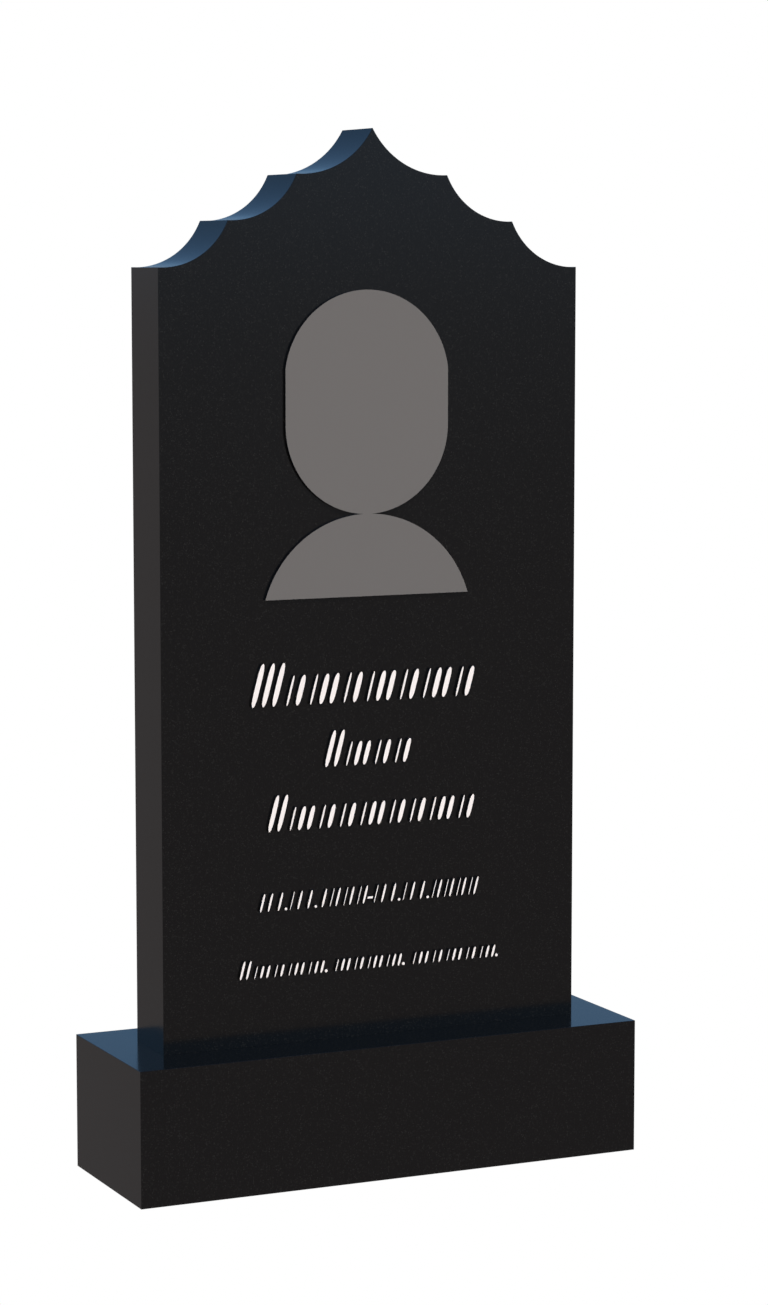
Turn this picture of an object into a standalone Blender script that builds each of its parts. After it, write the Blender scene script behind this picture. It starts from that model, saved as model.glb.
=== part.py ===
"""A headstone: a scalloped slab of polished black granite that stands on a rectangular plinth.

Metres, +Z up, and the carved front faces -Y. The origin is the middle of the plinth's underside.
"""

from collections import namedtuple
from math import acos, asin, atan2, cos, hypot, pi, radians, sin, sqrt, tan

import bmesh
import bpy

# Slab
STELE_WIDTH = 0.500
STELE_HEIGHT = 1.000
STELE_THICKNESS = 0.080

# Stepped top: three tiers a side, each joined to the next by a hollow arc
TIER_DROP = 0.050
PEAK_RUN = 0.090
TIERS = 3
SCALLOP_SAG = 0.015
SCALLOP_STEPS = 16

# Plinth, by how far it stands out round the slab
SIDE_LEDGE = 0.050
FRONT_LEDGE = 0.060
PLINTH_HEIGHT = 0.150

# Mason's work: the bed joint under the slab, the fine flat that breaks each sharp edge, and the
# turn between two faces from which an edge counts as sharp
BED_JOINT = 0.0003
ARRIS = 0.0003
SHARP = radians(30)

# Carving that stands proud of the slab, and how deep its shapes reach into the stone to join it
RELIEF_HEIGHT = 0.004
RELIEF_ROOT = 0.002

# The slab that the carving below is drawn for. On another slab the drawing is scaled to it.
DRAWN_WIDTH = 0.500
DRAWN_HEIGHT = 1.000

# Blank head and shoulders: places are from the slab's middle and foot
PORTRAIT_ACROSS = -0.0080
PORTRAIT_FOOT = 0.4913
SHOULDER_WIDTH = 0.2438
SHOULDER_HEIGHT = 0.0905
HEAD_WIDTH = 0.1946
HEAD_HEIGHT = 0.2441
CROWN_RADIUS = 0.0982
NECK_OVERLAP = 0.0002
PORTRAIT_STEPS = 16

# Rows of pen strokes that stand for the inscription, and are no letters. Each row stands on its
# foot. Its first mark is as high as tall, and the others are as high as low. Each group of marks
# runs from left to right along the foot, and a mark is a number of strokes.
Row = namedtuple("Row", "foot low tall pen groups stops")
Group = namedtuple("Group", "left right marks")
Stop = namedtuple("Stop", "kind across")
ROWS = (
    Row(0.3750, 0.0330, 0.0474, 0.0060, (Group(-0.1482, 0.1153, (3, 2, 3, 2, 3, 2, 3, 2)),), ()),
    Row(0.3049, 0.0264, 0.0402, 0.0051, (Group(-0.0608, 0.0388, (2, 3, 2, 2)),), ()),
    Row(0.2373, 0.0258, 0.0400, 0.0051, (Group(-0.1288, 0.1173, (2, 3, 2, 2, 3, 2, 2, 3, 2)),), ()),
    Row(
        0.1493, 0.0200, 0.0200, 0.0023,
        (
            Group(-0.1383, -0.1147, (2, 1)), Group(-0.1030, -0.0794, (2, 1)),
            Group(-0.0645, -0.0126, (1, 2, 2, 2)), Group(-0.0017, 0.0219, (2, 1)),
            Group(0.0337, 0.0575, (2, 1)), Group(0.0698, 0.1240, (2, 2, 2, 2)),
        ),
        (
            Stop("dot", -0.1072), Stop("dot", -0.0715), Stop("dash", -0.0068),
            Stop("dot", 0.0297), Stop("dot", 0.0650),
        ),
    ),
    Row(
        0.0760, 0.0134, 0.0202, 0.0026,
        (
            Group(-0.1625, -0.0636, (2, 3, 2, 3, 3)), Group(-0.0486, 0.0306, (3, 2, 3, 3)),
            Group(0.0463, 0.1471, (3, 2, 3, 2, 3)),
        ),
        (Stop("dot", -0.0592), Stop("dot", 0.0350), Stop("dot", 0.1512)),
    ),
)
PEN_SLANT = radians(15)
STROKE_STEPS = 5

# The space that parts two marks of a group, in strokes
MARK_SPACE = 0.30

# How thick each kind of stroke is in its middle, in shares of the pen. The higher the bluntness,
# the shorter its points.
WEIGHTS = {"stem": 1.0, "hair": 0.4}
BLUNTNESS = 4

# Stops, in shares of the pen: a round dot, and a level dash that stands part way up the row, in
# shares of its low marks
DOT_WIDTH = 1.3
DASH_LENGTH = 2.7
DASH_RISE = 0.32


def arc(centre, radius, start, end, steps):
    """Points along an arc from one angle to another, both ends included."""
    turn = (end - start) / steps
    return [
        (centre[0] + radius * cos(start + turn * i), centre[1] + radius * sin(start + turn * i))
        for i in range(steps + 1)
    ]


def scallop(low, high, sag, steps):
    """The hollow arc up from the corner low to the corner high, which lies to its left."""
    across, up = high[0] - low[0], high[1] - low[1]
    chord = hypot(across, up)
    radius = chord * chord / (8 * sag) + sag / 2
    outward = (up / chord, -across / chord)
    reach = radius - sag
    centre = (
        (low[0] + high[0]) / 2 + outward[0] * reach,
        (low[1] + high[1]) / 2 + outward[1] * reach,
    )
    middle = atan2(-outward[1], -outward[0])
    half = asin(chord / 2 / radius)
    return arc(centre, radius, middle + half, middle - half, steps)


def tier_corners():
    """The corners of the stepped top's right half, from the slab's edge up to its peak."""
    outer_run = (STELE_WIDTH / 2 - PEAK_RUN) / (TIERS - 1)
    across = [STELE_WIDTH / 2 - outer_run * i for i in range(TIERS)] + [0.0]
    return [(x, STELE_HEIGHT - TIER_DROP * (TIERS - i)) for i, x in enumerate(across)]


def slab_outline():
    """The slab's front, anticlockwise from its foot at the right, with its foot at height 0."""
    corners = tier_corners()
    right = [(STELE_WIDTH / 2, 0.0), corners[0]]
    for low, high in zip(corners, corners[1:]):
        right += scallop(low, high, SCALLOP_SAG, SCALLOP_STEPS)[1:]
    return right + [(-x, z) for x, z in reversed(right[:-1])]


def drawing_scale():
    """How much wider and higher the slab is than the one that the carving is drawn for."""
    return STELE_WIDTH / DRAWN_WIDTH, STELE_HEIGHT / DRAWN_HEIGHT


def portrait_outline():
    """Head and shoulders without a face, anticlockwise: two round forms that just meet."""
    wider, higher = drawing_scale()
    size = min(wider, higher)
    half = SHOULDER_WIDTH / 2
    shoulder_radius = half * half / (2 * SHOULDER_HEIGHT) + SHOULDER_HEIGHT / 2
    shoulder_centre = SHOULDER_HEIGHT - shoulder_radius
    chin_radius = HEAD_WIDTH / 2
    chin_centre = SHOULDER_HEIGHT - NECK_OVERLAP + chin_radius
    apart = chin_centre - shoulder_centre
    neck_rise = (apart**2 + shoulder_radius**2 - chin_radius**2) / (2 * apart)
    neck_half = sqrt(shoulder_radius**2 - neck_rise**2)
    crown_centre = SHOULDER_HEIGHT - NECK_OVERLAP + HEAD_HEIGHT - CROWN_RADIUS
    crown_start = acos(chin_radius / CROWN_RADIUS)

    right = arc(
        (0.0, shoulder_centre), shoulder_radius,
        asin(-shoulder_centre / shoulder_radius), atan2(neck_rise, neck_half), PORTRAIT_STEPS,
    )
    neck_turn = atan2(neck_rise - apart, neck_half)
    right += arc((0.0, chin_centre), chin_radius, neck_turn, 0.0, PORTRAIT_STEPS)[1:]
    right += arc((0.0, crown_centre), CROWN_RADIUS, crown_start, pi / 2, PORTRAIT_STEPS)
    outline = right + [(-x, z) for x, z in reversed(right[:-1])]
    return [
        (PORTRAIT_ACROSS * wider + x * size, PORTRAIT_FOOT * higher + z * size)
        for x, z in outline
    ]


def stroke_outline(kind, x, foot, height, pen):
    """A slanted pen stroke, thick along its middle and drawn out to a point at both ends."""
    left, right = [], []
    for i in range(STROKE_STEPS + 1):
        share = (1 - cos(pi * i / STROKE_STEPS)) / 2
        half = pen * WEIGHTS[kind] / 2 * sqrt(1 - (2 * share - 1) ** BLUNTNESS)
        middle = x + height * share * tan(PEN_SLANT)
        right.append((middle + half, foot + share * height))
        left.append((middle - half, foot + share * height))
    return right + left[-2:0:-1]


def stop_outline(kind, across, foot, low, pen):
    """A dot on the row's foot, or a dash part way up the row."""
    if kind == "dot":
        radius = pen * DOT_WIDTH / 2
        x = across + radius * tan(PEN_SLANT)
        return arc((x, foot + radius), radius, 0.0, 2 * pi, 2 * STROKE_STEPS)[:-1]
    half, rise = pen * DASH_LENGTH / 2, low * DASH_RISE
    x, lean = across + rise * tan(PEN_SLANT), pen / 2 * tan(PEN_SLANT)
    bottom, top = foot + rise - pen / 2, foot + rise + pen / 2
    return [
        (x - half - lean, bottom), (x + half - lean, bottom),
        (x + half + lean, top), (x - half + lean, top),
    ]


def strokes_in(marks, opens_row):
    """The strokes of a group: kind, place along the group from 0 to 1, and whether it is tall."""
    placed, cursor = [], 0.0
    for number, mark in enumerate(marks):
        tall = opens_row and number == 0
        lead = "stem" if tall or mark == 1 else "hair"
        for kind in [lead] + ["stem"] * (mark - 1):
            placed.append((kind, cursor, tall))
            cursor += 1
        cursor += MARK_SPACE
    last = placed[-1][1]
    return [(kind, place / last, tall) for kind, place, tall in placed]


def row_outlines(row):
    """Every stroke and stop of a row, with the strokes of each group spread evenly along it."""
    wider, higher = drawing_scale()
    size = min(wider, higher)
    foot, low, tall_height, pen = row.foot * higher, row.low * size, row.tall * size, row.pen * size
    outlines = []
    for number, group in enumerate(row.groups):
        left, right = group.left * wider + pen / 2, group.right * wider - pen / 2
        for kind, place, tall in strokes_in(group.marks, number == 0):
            x, height = left + (right - left) * place, tall_height if tall else low
            outlines.append(stroke_outline(kind, x, foot, height, pen))
    for stop in row.stops:
        outlines.append(stop_outline(stop.kind, stop.across * wider, foot, low, pen))
    return outlines


def material(name, colour, roughness):
    """A plain Principled material."""
    made = bpy.data.materials.new(name)
    made.use_nodes = True
    shader = made.node_tree.nodes["Principled BSDF"]
    shader.inputs["Base Color"].default_value = (*colour, 1.0)
    shader.inputs["Roughness"].default_value = roughness
    shader.inputs["Metallic"].default_value = 0.0
    return made


def add_object(name, shape, materials):
    """An object from a bmesh, with its faces turned outwards."""
    bmesh.ops.recalc_face_normals(shape, faces=shape.faces)
    mesh = bpy.data.meshes.new(name)
    shape.to_mesh(mesh)
    shape.free()
    for each in materials:
        mesh.materials.append(each)
    added = bpy.data.objects.new(name, mesh)
    bpy.context.collection.objects.link(added)
    return added


def add_prism(shape, outline, front, back, cap_material=0):
    """A closed body in a bmesh, from an outline at depth front straight back to depth back."""
    cap = shape.faces.new([shape.verts.new((x, front, z)) for x, z in outline])
    made = bmesh.ops.extrude_face_region(shape, geom=[cap], use_keep_orig=True)["geom"]
    pushed = [part for part in made if isinstance(part, bmesh.types.BMVert)]
    bmesh.ops.translate(shape, verts=pushed, vec=(0.0, back - front, 0.0))
    cap.material_index = cap_material


def break_edges(shape):
    """A fine flat along each sharp edge, but for those round the foot, which bear on what is below."""
    sharp = [
        edge for edge in shape.edges
        if edge.calc_face_angle() > SHARP and max(vert.co.z for vert in edge.verts) > 0.0
    ]
    bmesh.ops.bevel(shape, geom=sharp, offset=ARRIS, segments=1, affect="EDGES")


def build_plinth(granite):
    """The block under the slab, centred on it."""
    half_width = STELE_WIDTH / 2 + SIDE_LEDGE
    half_depth = STELE_THICKNESS / 2 + FRONT_LEDGE
    outline = [
        (half_width, 0.0), (half_width, PLINTH_HEIGHT),
        (-half_width, PLINTH_HEIGHT), (-half_width, 0.0),
    ]
    shape = bmesh.new()
    add_prism(shape, outline, -half_depth, half_depth)
    bmesh.ops.recalc_face_normals(shape, faces=shape.faces)
    break_edges(shape)
    return add_object("plinth", shape, [granite])


def build_relief(granite, grey, white):
    """The carving as closed shapes that start inside the slab. It is only joined to the stele."""
    front = -STELE_THICKNESS / 2
    shape = bmesh.new()
    add_prism(shape, portrait_outline(), front - RELIEF_HEIGHT, front + RELIEF_ROOT, 1)
    for row in ROWS:
        for outline in row_outlines(row):
            add_prism(shape, outline, front - RELIEF_HEIGHT, front + RELIEF_ROOT, 2)
    relief = add_object("relief_shapes", shape, [granite, grey, white])
    relief.hide_render = True
    relief.display_type = "WIRE"
    return relief


def build_stele(granite, relief):
    """The slab with its scalloped top, and the carving left standing on its front."""
    half = STELE_THICKNESS / 2
    shape = bmesh.new()
    add_prism(shape, slab_outline(), -half, half)
    bmesh.ops.recalc_face_normals(shape, faces=shape.faces)
    break_edges(shape)
    stele = add_object("stele", shape, [granite])
    stele.location.z = PLINTH_HEIGHT + BED_JOINT
    relief.location = stele.location
    join = stele.modifiers.new("carving", "BOOLEAN")
    join.operation = "UNION"
    join.object = relief
    join.material_mode = "TRANSFER"
    return stele


def main():
    for existing in list(bpy.data.objects):
        bpy.data.objects.remove(existing)
    granite = material("polished_black_granite", (0.010, 0.010, 0.010), 0.15)
    grey = material("matte_grey_face", (0.150, 0.146, 0.146), 0.70)
    white = material("white_stroke_face", (0.900, 0.900, 0.900), 0.70)
    build_plinth(granite)
    build_stele(granite, build_relief(granite, grey, white))


main()
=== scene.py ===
"""The looks of a headstone: polished black granite, a blank matte portrait and white strokes.

Metres, +Z up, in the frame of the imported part, whose carved front faces -Y.
"""

from collections import namedtuple
from math import acos, asin, atan2, cos, hypot, pi, radians, sin, sqrt, tan

import bmesh
import bpy
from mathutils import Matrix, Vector


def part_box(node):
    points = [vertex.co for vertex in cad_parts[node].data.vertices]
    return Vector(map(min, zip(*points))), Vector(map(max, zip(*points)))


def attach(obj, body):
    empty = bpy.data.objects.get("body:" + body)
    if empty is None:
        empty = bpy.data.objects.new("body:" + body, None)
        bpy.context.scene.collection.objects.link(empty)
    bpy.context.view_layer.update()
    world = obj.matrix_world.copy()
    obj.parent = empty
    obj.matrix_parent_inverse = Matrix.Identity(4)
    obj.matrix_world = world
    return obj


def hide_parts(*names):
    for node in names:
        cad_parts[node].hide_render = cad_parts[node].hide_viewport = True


# Camera, solved from the straight edges of the stones
CAMERA_PLACE = (-1.59304, -3.50440, 1.01018)
CAMERA_YAW = radians(24.8789)
CAMERA_PITCH = radians(-6.4593)
CAMERA_LENS_MM = 96.137
CAMERA_SENSOR_MM = 36.0

# Slab, which comes down into most of the bed joint
STELE_HEIGHT = 1.000
JOINT_FILL = 0.00025

# Stepped top
TIER_DROP = 0.050
PEAK_RUN = 0.090
TIERS = 3
SCALLOP_SAG = 0.015
SCALLOP_STEPS = 64

# Edges, and the carving with its coloured skins
ARRIS = 0.0003
SHARP = radians(30)
RELIEF_HEIGHT = 0.004
RELIEF_ROOT = 0.002
PAINT = 0.0001

# Blank head and shoulders: places are from the slab's middle and foot
PORTRAIT_ACROSS = -0.0080
PORTRAIT_FOOT = 0.4913
SHOULDER_WIDTH = 0.2438
SHOULDER_HEIGHT = 0.0905
HEAD_WIDTH = 0.1946
HEAD_HEIGHT = 0.2441
CROWN_RADIUS = 0.0982
NECK_OVERLAP = 0.0002
PORTRAIT_STEPS = 64

# Rows of pen strokes that stand for the inscription, and are no letters.
# A row has a foot, the height of its strokes and of the taller ones that open it, and a pen's
# width. A group has two ends, and its marks are the numbers of strokes that stand together.
Row = namedtuple("Row", "foot low tall pen groups stops")
Group = namedtuple("Group", "left right marks")
Stop = namedtuple("Stop", "kind across")
ROWS = (
    Row(0.3750, 0.0330, 0.0474, 0.0060, (Group(-0.1482, 0.1153, (3, 2, 3, 2, 3, 2, 3, 2)),), ()),
    Row(0.3049, 0.0264, 0.0402, 0.0051, (Group(-0.0608, 0.0388, (2, 3, 2, 2)),), ()),
    Row(0.2373, 0.0258, 0.0400, 0.0051, (Group(-0.1288, 0.1173, (2, 3, 2, 2, 3, 2, 2, 3, 2)),), ()),
    Row(
        0.1493, 0.0200, 0.0200, 0.0023,
        (
            Group(-0.1383, -0.1147, (2, 1)), Group(-0.1030, -0.0794, (2, 1)),
            Group(-0.0645, -0.0126, (1, 2, 2, 2)), Group(-0.0017, 0.0219, (2, 1)),
            Group(0.0337, 0.0575, (2, 1)), Group(0.0698, 0.1240, (2, 2, 2, 2)),
        ),
        (
            Stop("dot", -0.1072), Stop("dot", -0.0715), Stop("dash", -0.0068),
            Stop("dot", 0.0297), Stop("dot", 0.0650),
        ),
    ),
    Row(
        0.0760, 0.0134, 0.0202, 0.0026,
        (
            Group(-0.1625, -0.0636, (2, 3, 2, 3, 3)), Group(-0.0486, 0.0306, (3, 2, 3, 3)),
            Group(0.0463, 0.1471, (3, 2, 3, 2, 3)),
        ),
        (Stop("dot", -0.0592), Stop("dot", 0.0350), Stop("dot", 0.1512)),
    ),
)
PEN_SLANT = radians(15)
STROKE_STEPS = 16
MARK_SPACE = 0.30
WEIGHTS = {"stem": 1.0, "hair": 0.4}
BLUNTNESS = 4
DOT_WIDTH = 1.3
DASH_LENGTH = 2.7
DASH_RISE = 0.32

# Granite: three crystals in ten are paler at the heart, and fade out towards the rim
GRANITE_IOR = 1.5
GRANITE_ROUGHNESS = 0.155
GRANITE_BLACK = (0.0034, 0.0030, 0.0030)
CRYSTAL_PALE = (0.0190, 0.0190, 0.0182)
CRYSTALS_PER_METRE = 700.0
CRYSTAL_HEART = 0.10
CRYSTAL_RIM = 0.70
CRYSTALS_LEFT_DARK = 0.70

# Matte finishes, whose grain is a share of their colour
MATTE_ROUGHNESS = 0.7
MATTE_SPECULAR = 0.1
GRAINS_PER_METRE = 900.0
GRAIN_DETAIL = 1.0
PORTRAIT_GREY = (0.153, 0.146, 0.146)
PORTRAIT_GRAIN = 0.015
STROKE_WHITE = (0.933, 0.8795, 0.8834)
STROKE_GRAIN = 0.005

# Stage
WHITE = (1.0, 1.0, 1.0, 1.0)
BLACK = (0.0, 0.0, 0.0, 1.0)
FLOOR_SIZE = 60.0

# Suns from the front, tilted from straight down: a warm key from above and a broad soft fill
Sun = namedtuple("Sun", "name strength width tilt colour")
SUNS = (
    Sun("key", 2.10, radians(15), radians(40), (1.0, 0.86, 0.72)),
    Sun("fill", 1.53, radians(50), radians(80), (1.0, 0.955, 0.81)),
)

# What the polish mirrors, from 0 straight down through 0.5 level to 1 straight up, before the
# carved front and behind it. The two are mixed where a direction's Y is within TURN_REACH of 0.
GROUND_AND_SKY_BEFORE = (
    (0.460, (0.206, 0.192, 0.197)),
    (0.500, (0.232, 0.240, 0.252)),
    (0.518, (0.420, 0.540, 0.690)),
    (0.561, (0.222, 0.366, 0.535)),
    (0.608, (0.160, 0.365, 0.600)),
    (0.667, (0.107, 0.232, 0.430)),
    (1.000, (0.065, 0.145, 0.310)),
)
GROUND_AND_SKY_BEHIND = (
    (0.503, (0.218, 0.200, 0.198)),
    (0.518, (0.440, 0.555, 0.705)),
    (0.561, (0.198, 0.322, 0.480)),
    (0.608, (0.160, 0.324, 0.552)),
    (0.625, (0.117, 0.236, 0.412)),
    (0.704, (0.103, 0.222, 0.414)),
    (1.000, (0.065, 0.145, 0.310)),
)
TURN_REACH = 0.3


def arc(centre, radius, start, end, steps):
    """Points along an arc from one angle to another, both ends included."""
    turn = (end - start) / steps
    return [
        (centre[0] + radius * cos(start + turn * i), centre[1] + radius * sin(start + turn * i))
        for i in range(steps + 1)
    ]


def scallop(low, high, sag, steps):
    """The hollow arc up from the corner low to the corner high, which lies to its left."""
    across, up = high[0] - low[0], high[1] - low[1]
    chord = hypot(across, up)
    radius = chord * chord / (8 * sag) + sag / 2
    outward = (up / chord, -across / chord)
    reach = radius - sag
    centre = (
        (low[0] + high[0]) / 2 + outward[0] * reach,
        (low[1] + high[1]) / 2 + outward[1] * reach,
    )
    middle = atan2(-outward[1], -outward[0])
    half = asin(chord / 2 / radius)
    return arc(centre, radius, middle + half, middle - half, steps)


def slab_outline(half_width, height):
    """The slab's front, anticlockwise from its foot at the right, with the joint filled under it."""
    outer_run = (half_width - PEAK_RUN) / (TIERS - 1)
    across = [half_width - outer_run * i for i in range(TIERS)] + [0.0]
    corners = [(x, height - TIER_DROP * (TIERS - i)) for i, x in enumerate(across)]
    right = [(half_width, -JOINT_FILL), corners[0]]
    for low, high in zip(corners, corners[1:]):
        right += scallop(low, high, SCALLOP_SAG, SCALLOP_STEPS)[1:]
    return right + [(-x, z) for x, z in reversed(right[:-1])]


def portrait_outline():
    """Head and shoulders without a face, anticlockwise: two round forms that just meet."""
    half = SHOULDER_WIDTH / 2
    shoulder_radius = half * half / (2 * SHOULDER_HEIGHT) + SHOULDER_HEIGHT / 2
    shoulder_centre = SHOULDER_HEIGHT - shoulder_radius
    chin_radius = HEAD_WIDTH / 2
    chin_centre = SHOULDER_HEIGHT - NECK_OVERLAP + chin_radius
    apart = chin_centre - shoulder_centre
    neck_rise = (apart**2 + shoulder_radius**2 - chin_radius**2) / (2 * apart)
    neck_half = sqrt(shoulder_radius**2 - neck_rise**2)
    crown_centre = SHOULDER_HEIGHT - NECK_OVERLAP + HEAD_HEIGHT - CROWN_RADIUS
    crown_start = acos(chin_radius / CROWN_RADIUS)

    right = arc(
        (0.0, shoulder_centre), shoulder_radius,
        asin(-shoulder_centre / shoulder_radius), atan2(neck_rise, neck_half), PORTRAIT_STEPS,
    )
    neck_turn = atan2(neck_rise - apart, neck_half)
    right += arc((0.0, chin_centre), chin_radius, neck_turn, 0.0, PORTRAIT_STEPS)[1:]
    right += arc((0.0, crown_centre), CROWN_RADIUS, crown_start, pi / 2, PORTRAIT_STEPS)
    outline = right + [(-x, z) for x, z in reversed(right[:-1])]
    return [(PORTRAIT_ACROSS + x, PORTRAIT_FOOT + z) for x, z in outline]


def stroke_outline(kind, x, foot, height, pen):
    """A slanted pen stroke, thick along its middle and drawn out to a point at both ends."""
    left, right = [], []
    for i in range(STROKE_STEPS + 1):
        share = (1 - cos(pi * i / STROKE_STEPS)) / 2
        half = pen * WEIGHTS[kind] / 2 * sqrt(1 - (2 * share - 1) ** BLUNTNESS)
        middle = x + height * share * tan(PEN_SLANT)
        right.append((middle + half, foot + share * height))
        left.append((middle - half, foot + share * height))
    return right + left[-2:0:-1]


def stop_outline(kind, across, foot, low, pen):
    """A dot on the row's foot, or a dash part way up the row."""
    if kind == "dot":
        radius = pen * DOT_WIDTH / 2
        x = across + radius * tan(PEN_SLANT)
        return arc((x, foot + radius), radius, 0.0, 2 * pi, 2 * STROKE_STEPS)[:-1]
    half, rise = pen * DASH_LENGTH / 2, low * DASH_RISE
    x, lean = across + rise * tan(PEN_SLANT), pen / 2 * tan(PEN_SLANT)
    bottom, top = foot + rise - pen / 2, foot + rise + pen / 2
    return [
        (x - half - lean, bottom), (x + half - lean, bottom),
        (x + half + lean, top), (x - half + lean, top),
    ]


def strokes_in(marks, opens_row):
    """The strokes of a group: kind, place along the group from 0 to 1, and whether it is tall."""
    placed, cursor = [], 0.0
    for number, mark in enumerate(marks):
        tall = opens_row and number == 0
        lead = "stem" if tall or mark == 1 else "hair"
        for kind in [lead] + ["stem"] * (mark - 1):
            placed.append((kind, cursor, tall))
            cursor += 1
        cursor += MARK_SPACE
    last = placed[-1][1]
    return [(kind, place / last, tall) for kind, place, tall in placed]


def row_outlines(row):
    """Every stroke and stop of a row, with the strokes of each group spread evenly along it."""
    outlines = []
    for number, group in enumerate(row.groups):
        left, right = group.left + row.pen / 2, group.right - row.pen / 2
        for kind, place, tall in strokes_in(group.marks, number == 0):
            x, height = left + (right - left) * place, row.tall if tall else row.low
            outlines.append(stroke_outline(kind, x, row.foot, height, row.pen))
    for stop in row.stops:
        outlines.append(stop_outline(stop.kind, stop.across, row.foot, row.low, row.pen))
    return outlines


def node(owner, kind, **settings):
    """A shader node in a material or world, with plain values on its properties or inputs."""
    made = owner.node_tree.nodes.new(kind)
    for name, value in settings.items():
        if hasattr(made, name):
            setattr(made, name, value)
        else:
            made.inputs[name.replace("_", " ")].default_value = value
    return made


def new_material(name, **settings):
    """A material with plain values on its shader's inputs."""
    made = bpy.data.materials.new(name)
    made.use_nodes = True
    shader = made.node_tree.nodes["Principled BSDF"]
    for socket, value in settings.items():
        shader.inputs[socket.replace("_", " ")].default_value = value
    return made


def mix_colours(material, share, first, second):
    """Colours a material by a mix of two colours, from a socket with the share of the second."""
    nodes, link = material.node_tree.nodes, material.node_tree.links.new
    mix = node(material, "ShaderNodeMix", data_type="RGBA", A=(*first, 1.0), B=(*second, 1.0))
    link(share, mix.inputs["Factor"])
    link(mix.outputs["Result"], nodes["Principled BSDF"].inputs["Base Color"])


def granite_material():
    """Black gabbro polished to a mirror: nearly no colour of its own, with faint pale crystals."""
    made = new_material("polished_black_granite", IOR=GRANITE_IOR, Roughness=GRANITE_ROUGHNESS)
    link = made.node_tree.links.new
    place = node(made, "ShaderNodeTexCoord").outputs["Object"]
    crystals = node(made, "ShaderNodeTexVoronoi", Scale=CRYSTALS_PER_METRE)
    link(place, crystals.inputs["Vector"])
    near = node(made, "ShaderNodeMapRange", From_Min=CRYSTAL_RIM, From_Max=CRYSTAL_HEART)
    link(crystals.outputs["Distance"], near.inputs["Value"])
    pick = node(made, "ShaderNodeSeparateColor")
    link(crystals.outputs["Color"], pick.inputs["Color"])
    chosen = node(made, "ShaderNodeMapRange", From_Min=CRYSTALS_LEFT_DARK)
    link(pick.outputs["Red"], chosen.inputs["Value"])
    pale = node(made, "ShaderNodeMath", operation="MULTIPLY")
    link(near.outputs["Result"], pale.inputs[0])
    link(chosen.outputs["Result"], pale.inputs[1])
    mix_colours(made, pale.outputs["Value"], GRANITE_BLACK, CRYSTAL_PALE)
    return made


def matte_material(name, colour, grain):
    """A flat matte finish with a faint grain."""
    made = new_material(name, Roughness=MATTE_ROUGHNESS, Specular_IOR_Level=MATTE_SPECULAR)
    place = node(made, "ShaderNodeTexCoord").outputs["Object"]
    noise = node(made, "ShaderNodeTexNoise", Scale=GRAINS_PER_METRE, Detail=GRAIN_DETAIL)
    made.node_tree.links.new(place, noise.inputs["Vector"])
    darker = [value * (1 - grain) for value in colour]
    lighter = [value * (1 + grain) for value in colour]
    mix_colours(made, noise.outputs["Fac"], darker, lighter)
    return made


def shade(mesh):
    """Smooth along the arcs and sharp at the corners."""
    mesh.shade_smooth()
    mesh.set_sharp_from_angle(angle=SHARP)


def add_prism(shape, outline, front, back):
    """A closed body in a bmesh, from an outline at depth front straight back to depth back."""
    cap = shape.faces.new([shape.verts.new((x, front, z)) for x, z in outline])
    made = bmesh.ops.extrude_face_region(shape, geom=[cap], use_keep_orig=True)["geom"]
    pushed = [part for part in made if isinstance(part, bmesh.types.BMVert)]
    bmesh.ops.translate(shape, verts=pushed, vec=(0.0, back - front, 0.0))


def add_object(name, shape, foot, material):
    """An object from a bmesh whose heights count from the slab's foot."""
    bmesh.ops.translate(shape, verts=shape.verts, vec=(0.0, 0.0, foot))
    bmesh.ops.recalc_face_normals(shape, faces=shape.faces)
    mesh = bpy.data.meshes.new(name)
    shape.to_mesh(mesh)
    shape.free()
    mesh.materials.append(material)
    shade(mesh)
    added = bpy.data.objects.new(name, mesh)
    bpy.context.collection.objects.link(added)
    return added


def build_stele(low, high, granite):
    """The slab with its scalloped top, and the carving left standing on its front."""
    slab = bmesh.new()
    add_prism(slab, slab_outline(high.x, high.z - low.z), low.y, high.y)
    bmesh.ops.recalc_face_normals(slab, faces=slab.faces)
    sharp = [
        edge for edge in slab.edges
        if edge.calc_face_angle() > SHARP and max(vert.co.z for vert in edge.verts) > 0.0
    ]
    bmesh.ops.bevel(slab, geom=sharp, offset=ARRIS, segments=1, affect="EDGES")
    stele = add_object("stele_stone", slab, low.z, granite)

    carving = bmesh.new()
    for outline in [portrait_outline()] + [o for row in ROWS for o in row_outlines(row)]:
        add_prism(carving, outline, low.y - RELIEF_HEIGHT, low.y + RELIEF_ROOT)
    shapes = add_object("carving_shapes", carving, low.z, granite)
    join = stele.modifiers.new("carving", "BOOLEAN")
    join.operation = "UNION"
    join.object = shapes
    bpy.context.view_layer.update()
    evaluated = stele.evaluated_get(bpy.context.evaluated_depsgraph_get())
    joined = bpy.data.meshes.new_from_object(evaluated)
    stele.modifiers.clear()
    stele.data = joined
    shade(joined)
    bpy.data.objects.remove(shapes)
    return stele


def build_faces(name, outlines, front, foot, material):
    """A thin finished skin on the raised shapes of the given outlines."""
    skin = bmesh.new()
    for outline in outlines:
        add_prism(skin, outline, front - PAINT, front + PAINT / 2)
    return add_object(name, skin, foot, material)


def build_floor():
    """A plain white floor, which neither tints the stone nor shows in its polish."""
    bpy.ops.mesh.primitive_plane_add(size=FLOOR_SIZE)
    floor = bpy.context.object
    floor.name = "floor"
    white = new_material(
        "floor_white", Base_Color=BLACK, Specular_IOR_Level=0.0,
        Emission_Color=WHITE, Emission_Strength=1.0,
    )
    floor.data.materials.append(white)
    floor.visible_glossy = False
    floor.visible_diffuse = False


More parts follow.
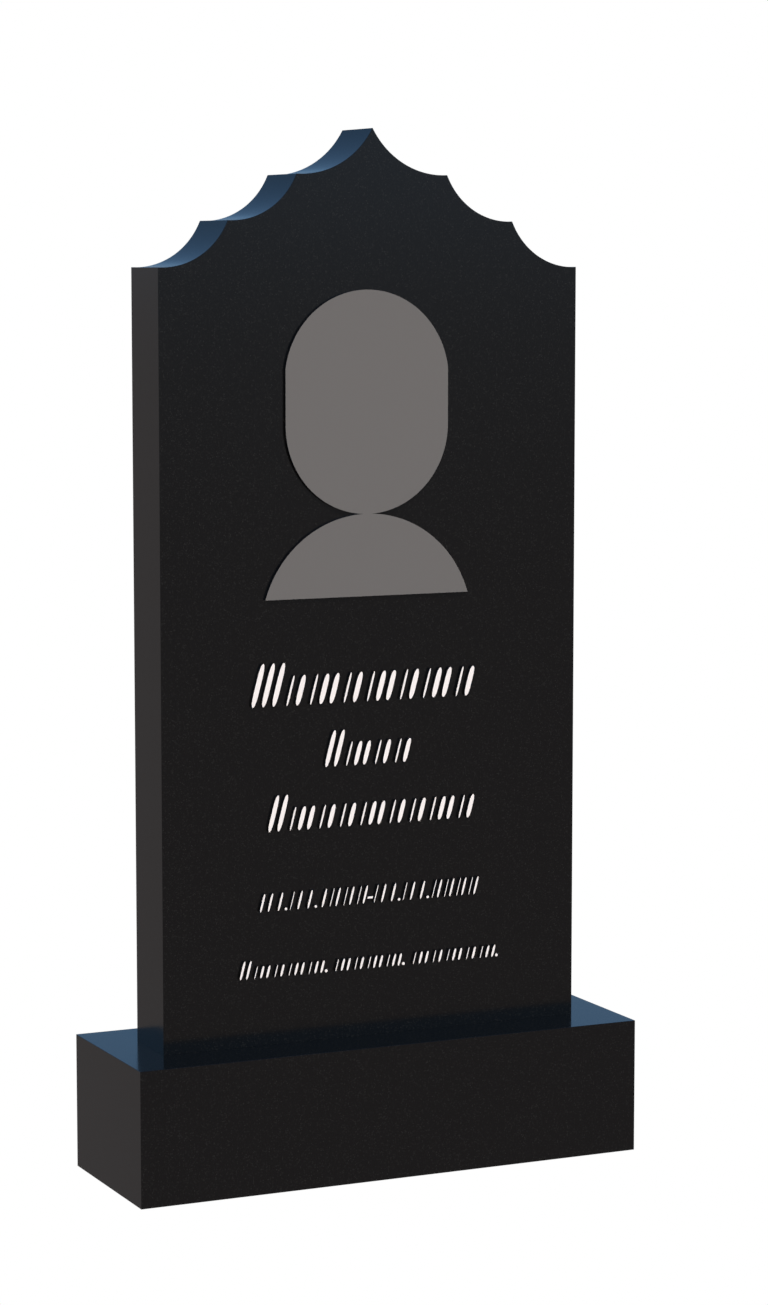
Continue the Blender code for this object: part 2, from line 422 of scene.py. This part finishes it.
def colour_ramp(owner, stops):
    """A colour ramp with the given stops, each a position and a colour."""
    ramp = node(owner, "ShaderNodeValToRGB")
    elements = ramp.color_ramp.elements
    elements[0].position, elements[0].color = stops[0][0], (*stops[0][1], 1.0)
    elements[1].position, elements[1].color = stops[-1][0], (*stops[-1][1], 1.0)
    for position, colour in stops[1:-1]:
        elements.new(position).color = (*colour, 1.0)
    return ramp


def build_world():
    """White where the camera looks, and round the part a grey ground under a blue sky."""
    world = bpy.data.worlds.new("studio")
    bpy.context.scene.world = world
    world.use_nodes = True
    nodes, link = world.node_tree.nodes, world.node_tree.links.new
    way = node(world, "ShaderNodeSeparateXYZ")
    link(node(world, "ShaderNodeTexCoord").outputs["Generated"], way.inputs["Vector"])
    height = node(world, "ShaderNodeMapRange", From_Min=-1.0)
    link(way.outputs["Z"], height.inputs["Value"])
    side = node(world, "ShaderNodeMapRange", From_Min=-TURN_REACH, From_Max=TURN_REACH)
    link(way.outputs["Y"], side.inputs["Value"])
    turn = node(world, "ShaderNodeMix", data_type="RGBA")
    link(side.outputs["Result"], turn.inputs["Factor"])
    for stops, end in ((GROUND_AND_SKY_BEFORE, "A"), (GROUND_AND_SKY_BEHIND, "B")):
        ramp = colour_ramp(world, stops)
        link(height.outputs["Result"], ramp.inputs["Fac"])
        link(ramp.outputs["Color"], turn.inputs[end])

    around = nodes["Background"]
    link(turn.outputs["Result"], around.inputs["Color"])
    behind = node(world, "ShaderNodeBackground", Color=WHITE)
    seen = node(world, "ShaderNodeLightPath")
    mix = node(world, "ShaderNodeMixShader")
    link(seen.outputs["Is Camera Ray"], mix.inputs["Fac"])
    link(around.outputs["Background"], mix.inputs[1])
    link(behind.outputs["Background"], mix.inputs[2])
    link(mix.outputs["Shader"], nodes["World Output"].inputs["Surface"])


def add_sun(sun):
    """A light from the front that leaves no glint on the polish."""
    lamp = bpy.data.lights.new(sun.name, "SUN")
    lamp.energy = sun.strength
    lamp.angle = sun.width
    lamp.color = sun.colour
    added = bpy.data.objects.new(sun.name, lamp)
    bpy.context.collection.objects.link(added)
    added.rotation_euler = (sun.tilt, 0.0, 0.0)
    added.visible_glossy = False


def build_camera():
    """The photograph's view."""
    lens = bpy.data.cameras.new("camera")
    lens.sensor_width = CAMERA_SENSOR_MM
    lens.lens = CAMERA_LENS_MM
    camera = bpy.data.objects.new("camera", lens)
    bpy.context.collection.objects.link(camera)
    camera.location = CAMERA_PLACE
    camera.rotation_euler = (pi / 2 + CAMERA_PITCH, 0.0, -CAMERA_YAW)
    bpy.context.scene.camera = camera


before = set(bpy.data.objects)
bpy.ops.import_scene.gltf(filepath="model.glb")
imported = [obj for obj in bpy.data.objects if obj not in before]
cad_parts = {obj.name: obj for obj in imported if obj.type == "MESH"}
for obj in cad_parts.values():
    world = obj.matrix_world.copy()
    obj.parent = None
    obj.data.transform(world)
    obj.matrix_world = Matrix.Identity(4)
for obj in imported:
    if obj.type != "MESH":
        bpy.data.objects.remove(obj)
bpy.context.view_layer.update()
bpy.context.scene.view_settings.view_transform = "Standard"
build_camera()
build_world()
for sun in SUNS:
    add_sun(sun)
build_floor()

granite = granite_material()
grey = matte_material("matte_grey_face", PORTRAIT_GREY, PORTRAIT_GRAIN)
white = matte_material("white_stroke_face", STROKE_WHITE, STROKE_GRAIN)
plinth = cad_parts["plinth"]
plinth.data.materials.clear()
plinth.data.materials.append(granite)

# The node's box reaches out to the carving and up past the peak, so the slab's own front and
# height come from its back and from its height in the design
box_low, box_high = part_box("stele")
slab_low = Vector((box_low.x, -box_high.y, box_low.z))
slab_high = Vector((box_high.x, box_high.y, box_low.z + STELE_HEIGHT))
stele = build_stele(slab_low, slab_high, granite)
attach(stele, "root")
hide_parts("stele")

face = slab_low.y - RELIEF_HEIGHT
portrait = build_faces("portrait_face", [portrait_outline()], face, slab_low.z, grey)
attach(portrait, "root")
for number, row in enumerate(ROWS, 1):
    strokes = build_faces(f"stroke_row_{number}", row_outlines(row), face, slab_low.z, white)
    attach(strokes, "root")
